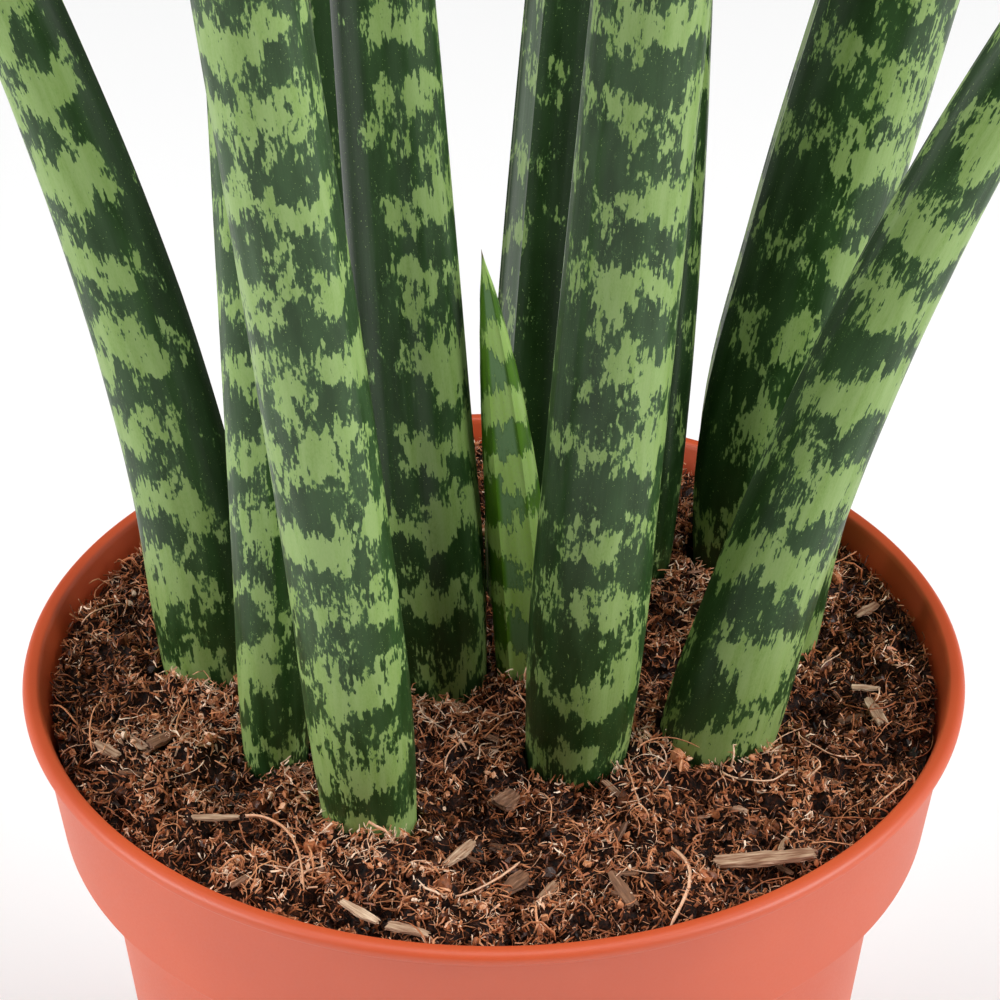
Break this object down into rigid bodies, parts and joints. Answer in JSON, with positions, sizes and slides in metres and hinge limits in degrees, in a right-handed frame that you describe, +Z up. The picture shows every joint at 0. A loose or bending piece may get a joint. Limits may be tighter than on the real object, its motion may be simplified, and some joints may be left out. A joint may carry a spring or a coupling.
{
  "type": "potted mikado snake plant",
  "caption": "Houseplant of upright cylindrical banded leaves with pointed tips, standing in soil in a tapered round plastic nursery pot.",
  "frame": {"origin": "middle of the pot's underside, on the surface that it stands on", "axes": "+Z up along the pot's axis, +X to the right and -Y towards the front of the plant"},
  "size_m": [0.2822, 0.1787, 0.4807],
  "materials": {
    "pot_plastic": "satin",
    "soil": "matte",
    "leaf_skin": "satin"
  },
  "bodies": {
    "root": {"pot": "pot_plastic", "soil": "soil", "leaf_far_left": "leaf_skin", "leaf_slim_left": "leaf_skin", "leaf_front_left": "leaf_skin", "leaf_middle_left": "leaf_skin", "leaf_back_left": "leaf_skin", "leaf_young": "leaf_skin", "leaf_back_middle": "leaf_skin", "leaf_front_right": "leaf_skin", "leaf_slim_back": "leaf_skin", "leaf_thick_right": "leaf_skin", "leaf_right": "leaf_skin", "leaf_low_right": "leaf_skin"}
  },
  "joints": []
}
